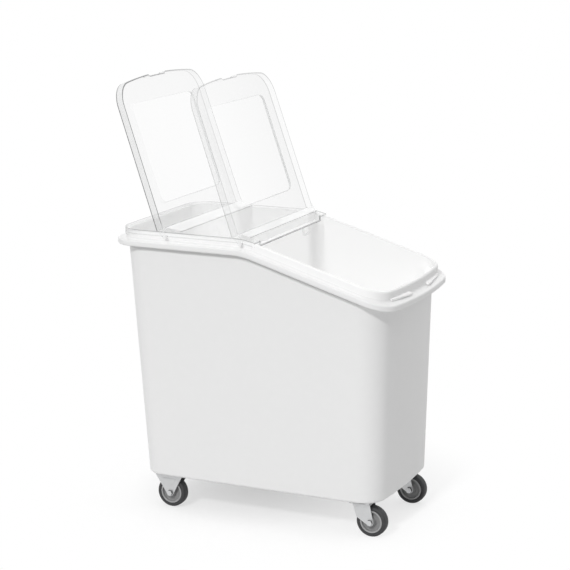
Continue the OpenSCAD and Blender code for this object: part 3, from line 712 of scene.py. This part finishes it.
def leaf(name, looks, body, node, hinge):
    """One raised leaf in its place on the hinge. Its looks are of the sheet, skirt, edges, panel walls and
    panel, in that order."""
    mesh = bmesh.new()
    outer = ring_edges(mesh, lid_outline(), lid_depth)
    panel = ring_edges(mesh, panel_outline(), lid_depth)
    bmesh.ops.triangle_fill(
        mesh, use_beauty=True, use_dissolve=False, edges=outer + panel, normal=(0, 0, 1),
    )
    sunk = bmesh.ops.extrude_edge_only(mesh, edges=panel)["geom"]
    middle = panel_start + panel_length / 2
    for element in sunk:
        if isinstance(element, bmesh.types.BMVert):
            element.co.x -= panel_draft * (1 if element.co.x > middle else -1)
            element.co.y -= panel_draft * (1 if element.co.y > 0 else -1)
            element.co.z -= panel_sink
        if isinstance(element, bmesh.types.BMFace):
            element.material_index = 3
    lowest = lid_depth - panel_sink + tolerance
    sunk_edges = [edge for edge in mesh.edges if max(vertex.co.z for vertex in edge.verts) < lowest]
    for face in bmesh.ops.contextual_create(mesh, geom=sunk_edges)["faces"]:
        face.material_index = 4
    past_heel = lid_heel + tolerance
    skirt_edges = [edge for edge in outer if max(vertex.co.x for vertex in edge.verts) > past_heel]
    free_edges = drop_skirt(mesh, skirt_edges, [(edge_band, 2), (lid_depth - edge_band, 1)])
    for element in bmesh.ops.extrude_edge_only(mesh, edges=free_edges)["geom"]:
        if isinstance(element, bmesh.types.BMVert):
            element.co.x = middle + (element.co.x - middle) * (1 - 2 * lid_thickness / lid_length)
            element.co.y *= 1 - lid_thickness / lid_half
        if isinstance(element, bmesh.types.BMFace):
            element.material_index = 2
    bmesh.ops.recalc_face_normals(mesh, faces=mesh.faces)
    if sum(face.normal.z * face.calc_area() for face in mesh.faces) < 0:
        bmesh.ops.reverse_faces(mesh, faces=mesh.faces)
    toe = (2 * lid_heel, 0)
    top = (lid_heel, lid_depth - lid_thickness / 2)
    first = atan2(top[1], top[0]) + acos(ear_radius / hypot(*top))
    last = 2 * pi - acos(ear_radius / toe[0])
    ear_line = [toe, (lid_heel, 0), top] + arc((0, 0), ear_radius, first, last, ear_steps)
    sheets = [mesh]
    for y in (-lid_half, lid_half - lid_thickness):
        ear = prism(ear_line, lid_thickness)
        soften(ear, ear_edge)
        for face in ear.faces:
            face.material_index = 4
        turn = Matrix(((1, 0, 0, 0), (0, 0, 1, y), (0, 1, 0, 0), (0, 0, 0, 1)))
        bmesh.ops.transform(ear, matrix=turn, verts=ear.verts)
        sheets.append(ear)
    mesh = joined(sheets)
    raise_up = Matrix.Translation(joint_at[hinge]) @ Matrix.Rotation(-0.5 * pi - lid_lean, 4, "Y")
    bmesh.ops.transform(mesh, matrix=raise_up, verts=mesh.verts)
    return piece(name, mesh, looks, body, "clear_plastic", node)


white_tint = (0.97, 0.975, 0.975)
soft_tint = (0.80, 0.805, 0.805)
grey_tint = (0.72, 0.73, 0.73)
dark_tint = (0.16, 0.165, 0.165)
# Where given, the sixth number is the painted shading share of the left side.
leaf("rear_leaf", [
    clear_plastic("rear lid sheet", soft_tint, 0.12, 0.35, 0.06),
    clear_plastic("rear lid skirt", grey_tint, 0.34, 0.50, 0.10, 0.4),
    clear_plastic("rear lid edge", dark_tint, 0.85, 0.90, 0.15, 0.35),
    clear_plastic("rear lid panel wall", grey_tint, 0.12, 0.30, 0.10, 3.0),
    clear_plastic("rear lid panel", white_tint, 0.07, 0.20, 0.06),
], "rear_lid", "rear_lid", "rear_lid_hinge")
leaf("front_leaf", [
    clear_plastic("front lid sheet", soft_tint, 0.08, 0.25, 0.06, 2.0),
    clear_plastic("front lid skirt", grey_tint, 0.16, 0.35, 0.10, 0.6),
    clear_plastic("front lid edge", dark_tint, 0.32, 0.40, 0.15, 1.1),
    clear_plastic("front lid panel wall", grey_tint, 0.12, 0.25, 0.10, 5.0),
    clear_plastic("front lid panel", soft_tint, 0.03, 0.06, 0.06, 5.0),
], "front_lid", "front_lid", "front_lid_hinge")

# Pieces left as packed: sleeves and balls are ground steel, and the caster bolts, nuts and kingpins are
# zinc-plated. The lid pins stand for moulded pivots, so they are pale. Only the finish is added here.
bright_steel, shader, place = material("ground steel")
dress(shader, {
    "Base Color": place.noise(90.0, 3.0).blend((0.52, 0.52, 0.53, 1), (0.60, 0.60, 0.61, 1)),
    "Metallic": 1.0,
    "Roughness": 0.26 + 0.10 * place.noise(300.0, 2.0),
})
zinc, shader, place = material("zinc plate")
dress(shader, {
    "Base Color": place.noise(70.0, 4.0).blend((0.57, 0.575, 0.58, 1), (0.67, 0.675, 0.68, 1)),
    "Metallic": 0.85,
    "Roughness": 0.34 + 0.12 * place.noise(120.0, 3.0),
})
# Zinc darkened as painted shade, for the flats of bolt heads and nuts.
painted_shade_zinc, shader, place = material("zinc with painted shade")
dress(shader, {
    "Base Color": place.noise(70.0, 4.0).blend((0.12, 0.12, 0.122, 1), (0.18, 0.18, 0.182, 1)),
    "Metallic": 0.85,
    "Roughness": 0.40 + 0.12 * place.noise(120.0, 3.0),
})
pale_pin, shader, place = material("pale pin")
dress(shader, {
    "Base Color": place.noise(90.0, 3.0).blend((0.93, 0.93, 0.93, 1), (0.97, 0.97, 0.97, 1)),
    "Roughness": 0.30 + 0.10 * place.noise(300.0, 2.0),
})
for name, node in frame["nodes"].items():
    if name.endswith(("_pins", "_sleeve", "_balls")):
        node.data.materials.clear()
        node.data.materials.append(pale_pin if name.endswith("_pins") else bright_steel)
    if name.endswith(("_bolts", "_nuts", "_kingpin")):
        node.data.materials.clear()
        node.data.materials.append(zinc)

# Wheels: a moulded grey nylon hub with a raised rim and a boss, and a black rubber tyre pressed over it.
# Each wheel turns on a sleeve and an axle bolt.
wheel_half = 0.012
shoulder = 0.006
hub_face = 0.0116
boss_face = 0.0146
tread_crown = 0.0004
bore = 0.0061
pale_from = 0.0240
seat_run = 0.0012
seat_drop = 0.0006
shoulder_end = -0.12 * pi
shoulder_steps = 8
tread_flat = 0.003
spin_steps = 72
wheels = {
    "rear_left_wheel": "rear_left_wheel_spin",
    "rear_right_wheel": "rear_right_wheel_spin",
    "front_left_wheel": "front_left_wheel_spin",
    "front_right_wheel": "front_right_wheel_spin",
}


def turned(profile, place, closed):
    """Spins a line of radius and side distance round the Y axis at a place."""
    mesh = bmesh.new()
    verts = [mesh.verts.new((radius, y, 0)) for radius, y in profile]
    pairs = list(zip(verts, verts[1:]))
    if closed:
        pairs.append((verts[-1], verts[0]))
    edges = [mesh.edges.new(pair) for pair in pairs]
    bmesh.ops.spin(
        mesh, geom=verts + edges, cent=(0, 0, 0), axis=(0, 1, 0), dvec=(0, 0, 0), angle=2 * pi,
        steps=spin_steps, use_merge=True, use_duplicate=False,
    )
    bmesh.ops.remove_doubles(mesh, verts=mesh.verts, dist=tolerance)
    bmesh.ops.recalc_face_normals(mesh, faces=mesh.faces)
    bmesh.ops.translate(mesh, vec=place, verts=mesh.verts)
    return mesh


rubber, shader, place = material("black rubber")
dress(shader, {
    "Base Color": place.noise(80.0, 4.0).blend((0.048, 0.048, 0.050, 1), (0.080, 0.080, 0.082, 1)),
    "Roughness": 0.50 + 0.14 * place.noise(40.0, 3.0),
    "Normal": place.noise(700.0, 3.0).bump(0.0001),
    "Specular IOR Level": 0.22,
})
nylon, shader, place = material("grey nylon")
dress(shader, {
    "Base Color": place.noise(70.0, 4.0).blend((0.25, 0.25, 0.252, 1), (0.32, 0.32, 0.322, 1)),
    "Roughness": 0.40 + 0.15 * place.noise(50.0, 3.0),
})
pale_nylon, shader, place = material("pale nylon rim")
dress(shader, {
    "Base Color": place.noise(70.0, 4.0).blend((0.40, 0.40, 0.402, 1), (0.48, 0.48, 0.482, 1)),
    "Roughness": 0.38 + 0.15 * place.noise(50.0, 3.0),
})
for wheel, spin in wheels.items():
    axle_place = joint_at[spin]
    tyre_radius = axle_place.z
    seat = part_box(wheel.replace("_wheel", "_hub"))[1].z - tyre_radius
    right = [(seat, -wheel_half + seat_drop), (seat + seat_run, -wheel_half)]
    shoulder_middle = (tyre_radius - shoulder, -wheel_half + shoulder)
    right += arc(shoulder_middle, shoulder, -0.5 * pi, shoulder_end, shoulder_steps)
    right.append((tyre_radius - tread_crown / 2, -tread_flat))
    section = right + [(tyre_radius, 0)] + [(radius, -y) for radius, y in reversed(right)]
    tyre = turned(section, axle_place, True)
    piece(wheel + "_tyre", tyre, [rubber], wheel, "tyre_rubber", wheel.replace("_wheel", "_tyre"))
    right = [
        (bore, -boss_face), (0.0098, -boss_face), (0.0106, -boss_face + 0.0008), (0.0120, -0.0070),
        (0.0140, -0.0052), (0.0212, -0.0052), (0.0226, -0.0062), (0.0238, -hub_face + 0.0012),
        (0.0244, -hub_face), (seat - 0.0012, -hub_face), (seat - 0.0002, -hub_face + 0.0010),
    ]
    hub = turned(right + [(radius, -y) for radius, y in reversed(right)], axle_place, True)
    # The hub's faces out past pale_from take the paler nylon.
    for face in hub.faces:
        middle = face.calc_center_median() - axle_place
        face.material_index = 1 if hypot(middle.x, middle.z) > pale_from else 0
    piece(wheel + "_hub", hub, [nylon, pale_nylon], wheel, "hub_plastic", wheel.replace("_wheel", "_hub"))

# Rear forks: each is pressed from one zinc-plated sheet with a top plate under the tub's floor and two
# legs that straddle the wheel, stiffened by an embossed triangle.
sheet_edge = 0.0006
plate_corner = 0.012
plate_half = 0.03306
rear_plate_half = 0.0385
rear_plate_shift = 0.002
fork_gap_half = 0.015
rear_leg = 0.0025
leg_end = 0.009
leg_shoulder = 0.006
leg_steps = 18
emboss_height = 0.0014
emboss_drop = 0.014
emboss_side = 0.020
emboss_rise = 0.016
plate_top = tub_low.z
plate_thickness = 0.0025
plate_z = plate_top - plate_thickness


def plate_piece(outline, thickness, matrix, softness=sheet_edge):
    """Flat sheet of an outline with softened edges, put in place."""
    mesh = prism(outline, thickness)
    soften(mesh, softness)
    bmesh.ops.transform(mesh, matrix=matrix, verts=mesh.verts)
    bmesh.ops.recalc_face_normals(mesh, faces=mesh.faces)
    return mesh


def rectangle(x, half_x, half_y, radius):
    """Outline of a rectangle with round corners."""
    line = []
    for side_x, side_y, turn in ((-1, -1, 1.0), (1, -1, 1.5), (1, 1, 2.0), (-1, 1, 2.5)):
        centre = (x + side_x * (half_x - radius), side_y * (half_y - radius))
        line += arc(centre, radius, turn * pi, (turn + 0.5) * pi, small_steps)
    return line


def leg_outline(rear_edge, front, axle):
    """Side view of a fork leg: down its rear edge, round the axle and up to its top front corner."""
    knee = rear_edge[-1]
    ends = []
    for point, side in ((knee, 1), (front, -1)):
        away = (point[0] - axle[0], point[1] - axle[1])
        ends.append(atan2(away[1], away[0]) + side * acos(leg_end / hypot(*away)))
    return rear_edge + arc(axle, leg_end, ends[0], ends[1] + 2 * pi, leg_steps) + [front]


def upright(x, y):
    """Turns a flat outline up into the XZ plane, with its thickness along Y."""
    return Matrix(((1, 0, 0, x), (0, 0, 1, y), (0, 1, 0, 0), (0, 0, 0, 1)))


for side in ("left", "right"):
    axle_place = joint_at["rear_%s_wheel_spin" % side]
    back = -rear_plate_shift - rear_plate_half
    front = -rear_plate_shift + rear_plate_half
    top = plate_z + plate_thickness / 2
    leg = leg_outline([(back, top), (back, plate_z - leg_shoulder)], (front, top), (0, axle_place.z))
    triangle = [
        (back + emboss_side, plate_z - emboss_drop), (0, axle_place.z + emboss_rise),
        (front - emboss_side, plate_z - emboss_drop),
    ]
    sheet = rectangle(-rear_plate_shift, rear_plate_half, plate_half, plate_corner)
    lay = Matrix.Translation((axle_place.x, axle_place.y, plate_z))
    sheets = [plate_piece(sheet, plate_thickness, lay)]
    for turn in (-1, 1):
        middle = axle_place.y + turn * (fork_gap_half + rear_leg / 2)
        sheets.append(plate_piece(leg, rear_leg, upright(axle_place.x, middle - rear_leg / 2)))
        start = axle_place.y + turn * (fork_gap_half + rear_leg) - emboss_height / 2
        stand = upright(axle_place.x, start)
        sheets.append(plate_piece(triangle, 1.5 * emboss_height, stand, emboss_height / 2))
    name = "rear_%s_fork" % side
    piece(name + "_sheet", joined(sheets), [zinc], "bin", "zinc_steel", name)

# Front casters: a top plate bolted to the tub, and a swivel fork under a ball race. The fork has a round
# crown with a rolled lip and two kneed legs that trail to the axle, all of zinc-plated sheet.
front_plate_half = 0.032
front_leg = 0.003
crown_radius = 0.023
crown_top = 0.0805
crown_z = 0.0775
crown_back = -0.01955
crown_front = 0.02415
lip_height = 0.0024
lip_thickness = 0.002
lip_edge = 0.0008
bridge_edge = 0.0014
crown_steps = 47
knee_back = 0.034
knee_rise = 0.0105
for side in ("left", "right"):
    swivel = joint_at["front_%s_swivel" % side]
    axle_place = joint_at["front_%s_wheel_spin" % side]
    lay = Matrix.Translation((swivel.x, swivel.y, plate_z))
    sheet = rectangle(0, front_plate_half, plate_half, plate_corner)
    name = "front_%s_plate" % side
    piece(name + "_sheet", plate_piece(sheet, plate_thickness, lay), [zinc], "bin", "zinc_steel", name)
    trail = axle_place.x - swivel.x
    knee = (trail - knee_back, axle_place.z + knee_rise)
    leg = leg_outline([(crown_back, crown_top), knee], (crown_front, crown_top), (trail, axle_place.z))
    half = fork_gap_half + front_leg
    bridge = rectangle((crown_back + crown_front) / 2, (crown_front - crown_back) / 2, half, sheet_edge)
    lay = Matrix.Translation((swivel.x, swivel.y, crown_z))
    thickness = crown_top - crown_z
    sheets = [plate_piece(bridge, thickness, lay, bridge_edge)]
    crown = arc((0, 0), crown_radius, 0, 1.95 * pi, crown_steps)
    sheets.append(plate_piece(crown, thickness, lay))
    lip = [
        (crown_radius, 0), (crown_radius, lip_height - lip_edge), (crown_radius - lip_edge, lip_height),
        (crown_radius - lip_thickness, lip_height), (crown_radius - lip_thickness, 0),
    ]
    ring = turned(lip, (0, 0, 0), True)
    stand = Matrix.Translation((swivel.x, swivel.y, crown_top)) @ Matrix.Rotation(0.5 * pi, 4, "X")
    bmesh.ops.transform(ring, matrix=stand, verts=ring.verts)
    sheets.append(ring)
    for turn in (-1, 1):
        middle = axle_place.y + turn * (fork_gap_half + front_leg / 2)
        sheets.append(plate_piece(leg, front_leg, upright(swivel.x, middle - front_leg / 2)))
    name = "front_%s_fork" % side
    piece(name + "_sheet", joined(sheets), [zinc], "front_%s_swivel" % side, "zinc_steel", name)

# Axle bolts and nuts: a zinc-plated hexagon bolt runs through both fork legs and the wheel's sleeve, and
# a nut on its far end clamps the legs on the sleeve.
shaft = 0.004
shaft_steps = 19
head_corner = 0.00752
nut_corner = 0.00768
nut_height = 0.0068
chamfer = 0.0010


def hexagon(corner, height):
    """Bolt head or nut with its outer corners turned off, from 0 up along Z."""
    mesh = prism(arc((0, 0), corner, 0, 5 * pi / 3, 5), height)
    for face in mesh.faces:
        # The hexagon's flats take the second material, darkened as painted shade.
        face.material_index = 0 if abs(face.normal.z) > 0.5 else 1
    rim = [edge for edge in mesh.edges if all(vertex.co.z > height - tolerance for vertex in edge.verts)]
    bmesh.ops.bevel(mesh, geom=rim, offset=chamfer, segments=2, profile=0.5, affect="EDGES", material=-1)
    return mesh


def along_axle(place, side, start):
    """Lays Z along the axle toward one side, from a distance off the wheel's middle."""
    turn = Matrix.Rotation(-0.5 * pi * side, 4, "X")
    return Matrix.Translation((place.x, place.y + side * start, place.z)) @ turn


for wheel, spin in wheels.items():
    axle_place = joint_at[spin]
    corner = wheel.replace("_wheel", "")
    low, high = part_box(corner + "_axle")
    nut_side = 1 if high.y - axle_place.y > axle_place.y - low.y else -1
    nut_reach = max(high.y - axle_place.y, axle_place.y - low.y)
    head_reach = min(high.y - axle_place.y, axle_place.y - low.y)
    body = "bin" if corner.startswith("rear") else corner + "_swivel"
    leg_face = fork_gap_half + (rear_leg if corner.startswith("rear") else front_leg)
    lay = along_axle(axle_place, nut_side, -leg_face)
    rod = plate_piece(arc((0, 0), shaft, 0, 1.9 * pi, shaft_steps), nut_reach + leg_face, lay)
    head = hexagon(head_corner, head_reach - leg_face)
    bmesh.ops.transform(head, matrix=along_axle(axle_place, -nut_side, leg_face), verts=head.verts)
    bolt = joined([rod, head])
    piece(corner + "_axle_bolt", bolt, [zinc, painted_shade_zinc], body, "zinc_hardware", corner + "_axle")
    nut = hexagon(nut_corner, nut_height)
    bmesh.ops.transform(nut, matrix=along_axle(axle_place, nut_side, leg_face), verts=nut.verts)
    piece(corner + "_axle_hex", nut, [zinc, painted_shade_zinc], body, "zinc_hardware", corner + "_axle_nut")

# Light: a plain soft studio. The floor and the backdrop are white, with a soft grey sweep under the bin
# that holds the lamps' shadows and a painted shadow.
# The key comes from the near side and above, so the near side is lighter than the front end.
floor_data = bpy.data.meshes.new("floor")
floor_half = 12.0
sweep_x = 0.75
sweep_y = 0.70
sweep_start = 0.55
sweep_end = 0.12
sweep_middle = Vector((-0.10, 0.10, 0))
floor_data.from_pydata(
    [(floor_half * x, floor_half * y, 0) for x, y in ((-1, -1), (1, -1), (1, 1), (-1, 1))],
    [],
    [(0, 1, 2, 3)],
)
floor_object = bpy.data.objects.new("floor", floor_data)
scene.collection.objects.link(floor_object)


def in_sight(tree):
    """1 for rays that show a surface to the camera, straight, in a reflection or through clear plastic."""
    path = Wire(tree)
    kinds = ("Is Camera Ray", "Is Glossy Ray", "Is Transmission Ray")
    camera_ray, glossy_ray, transmission_ray = [path.node("LightPath", {}, {}, kind) for kind in kinds]
    return path.math("MAXIMUM", path.math("MAXIMUM", camera_ray, glossy_ray), transmission_ray)


floor_paint, shader, place = material("white floor")
sight = in_sight(floor_paint.node_tree)
sweep = {
    "Location": (-sweep_middle.x / sweep_x, -sweep_middle.y / sweep_y, 0),
    "Scale": (1 / sweep_x, 1 / sweep_y, 1),
}
spread = place.node("Mapping", {}, {"Vector": place, **sweep}, "Vector")
closeness = place.node("TexGradient", {"gradient_type": "SPHERICAL"}, {"Vector": spread}, "Fac")
# Painted shadow: toward the sweep's middle the floor's emission falls from 0.66 to 0.44.
painted_shadow_depth = closeness.rise(sweep_start, 1.0)
ends = {"From Min": sweep_end, "From Max": sweep_start}
near = place.node("MapRange", {"interpolation_type": "SMOOTHSTEP"}, {"Value": closeness, **ends})
seen_paint = near.blend((0, 0, 0, 1), (0.38, 0.38, 0.38, 1))
painted_shadow_emission = painted_shadow_depth.blend((0.66, 0.66, 0.66, 1), (0.44, 0.44, 0.44, 1))
dress(shader, {
    "Base Color": sight.blend((0.70, 0.70, 0.70, 1), seen_paint),
    "Emission Color": sight.blend((0, 0, 0, 1), near.blend((1, 1, 1, 1), painted_shadow_emission)),
    "Emission Strength": 1.0,
    "Roughness": 0.9 + 0.05 * place.noise(3.0, 2.0),
})
shader.inputs["Specular IOR Level"].default_value = 0.0
floor_data.materials.append(floor_paint)
world = bpy.data.worlds.new("studio")
world.use_nodes = True
scene.world = world
sky = in_sight(world.node_tree).blend((0.355, 0.355, 0.355, 1), (1, 1, 1, 1))
world.node_tree.links.new(sky.socket, world.node_tree.nodes["Background"].inputs["Color"])
lamps = [
    ("key", (-0.02, -0.80, 0.60), 1.30, 7),
    ("back", (0, 0.80, 0.50), 0.40, 60),
    ("top", (0, 0, 1), 0.72, 100),
]
for name, toward, strength, width in lamps:
    lamp = bpy.data.lights.new(name, "SUN")
    lamp.energy = strength
    lamp.angle = radians(width)
    lamp_object = bpy.data.objects.new(name, lamp)
    lamp_object.rotation_mode = "QUATERNION"
    lamp_object.rotation_quaternion = Vector(toward).to_track_quat("Z", "Y")
    scene.collection.objects.link(lamp_object)
scene.view_settings.view_transform = "Standard"
